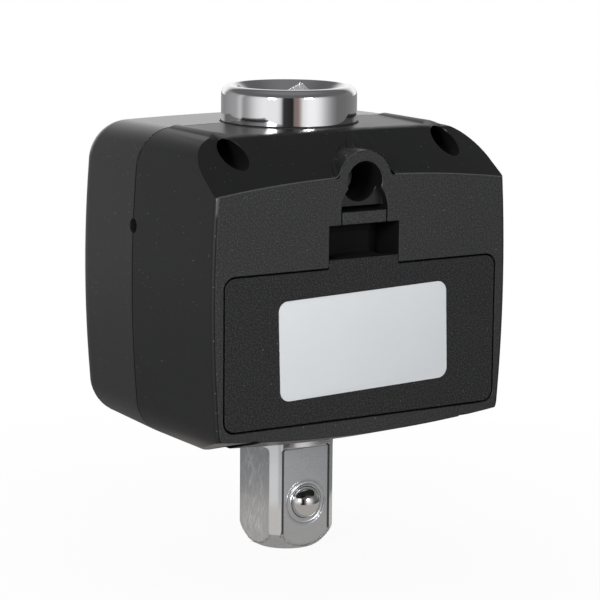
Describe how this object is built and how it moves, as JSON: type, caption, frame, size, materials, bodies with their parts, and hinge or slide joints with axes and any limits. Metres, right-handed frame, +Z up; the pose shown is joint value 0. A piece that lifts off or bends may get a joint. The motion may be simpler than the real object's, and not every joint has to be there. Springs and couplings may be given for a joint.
{
  "type": "digital torque meter",
  "caption": "Digital torque meter with a square-drive socket on top, a male square drive below, a display and keys in front and a battery cover behind.",
  "frame": {"origin": "centre of the male square's tip face, on the drive axis", "axes": "+Z up along the drive axis towards the female square, -Y towards the display, +Y towards the battery cover, +X to the left of a viewer who looks at the battery cover"},
  "size_m": [0.0574, 0.0479, 0.0788],
  "materials": {
    "housing_plastic": "satin black moulding",
    "cover_plastic": "fine spark texture, black",
    "panel_plastic": "smooth dark grey panel",
    "key_rubber": "matte dark grey",
    "power_rubber": "matte red",
    "drive_steel": "bright nickel-chrome plating on the ring, satin on the square",
    "ball_steel": "polished",
    "screw_steel": "plain zinc",
    "black_steel": "black oxide",
    "spring_steel": "plain",
    "contact_nickel": "nickel plated",
    "seal_rubber": "matte black",
    "label_film": "pale grey film",
    "cell_jacket": "plain jacket",
    "gauge_foil": "foil on film",
    "lead_red": "insulated wire",
    "board_green": "solder resist",
    "chip_black": "moulded",
    "lamp_clear": "clear resin",
    "diffuser_white": "milky diffuser",
    "connector_pink": "striped elastomer",
    "lcd_glass": "display glass",
    "lens_clear": "clear lens"
  },
  "bodies": {
    "meter": {"rear_housing": "housing_plastic", "front_housing": "housing_plastic", "drive_shaft": "drive_steel", "detent_spring": "spring_steel", "strain_gauges": "gauge_foil", "gauge_leads": "lead_red", "upper_seal": "seal_rubber", "lower_seal": "seal_rubber", "anchor_screw": "screw_steel", "corner_screws": "black_steel", "upper_cell": "cell_jacket", "lower_cell": "cell_jacket", "contact_springs": "contact_nickel", "link_contact": "contact_nickel", "terminal_contacts": "contact_nickel", "battery_leads": "lead_red", "main_board": "board_green", "board_chips": "chip_black", "board_screws": "screw_steel", "buzzer": "chip_black", "tact_switches": "chip_black", "indicator_lamps": "lamp_clear", "lcd_backlight": "diffuser_white", "lcd_connectors": "connector_pink", "lcd_module": "lcd_glass", "lcd_lens": "lens_clear", "face_panel": "panel_plastic"},
    "cover": {"battery_cover": "cover_plastic", "rear_label": "label_film"},
    "latch": {"battery_latch": "cover_plastic"},
    "ball": {"detent_ball": "ball_steel"},
    "mode_button": {"mode_key": "key_rubber"},
    "unit_button": {"unit_key": "key_rubber"},
    "up_button": {"up_key": "key_rubber"},
    "power_button": {"power_key": "power_rubber"}
  },
  "joints": [
    {"name": "cover_hinge", "type": "hinge", "parent": "meter", "child": "cover", "pos_m": [0, 0.0235, 0.02626], "axis": [-1, 0, 0], "range_deg": [0, 60]},
    {"name": "latch_flex", "type": "hinge", "parent": "cover", "child": "latch", "pos_m": [0, 0.0179, 0.05309], "axis": [-1, 0, 0], "range_deg": [0, 8], "stiffness_Nm_per_rad": 0.02},
    {"name": "ball_press", "type": "slide", "parent": "meter", "child": "ball", "axis": [0, -1, 0], "range_m": [0, 0.0017], "stiffness_N_per_m": 900},
    {"name": "mode_press", "type": "slide", "parent": "meter", "child": "mode_button", "axis": [0, 1, 0], "range_m": [0, 0.0004], "stiffness_N_per_m": 900},
    {"name": "unit_press", "type": "slide", "parent": "meter", "child": "unit_button", "axis": [0, 1, 0], "range_m": [0, 0.0004], "stiffness_N_per_m": 900},
    {"name": "up_press", "type": "slide", "parent": "meter", "child": "up_button", "axis": [0, 1, 0], "range_m": [0, 0.0004], "stiffness_N_per_m": 900},
    {"name": "power_press", "type": "slide", "parent": "meter", "child": "power_button", "axis": [0, 1, 0], "range_m": [0, 0.0004], "stiffness_N_per_m": 900}
  ]
}
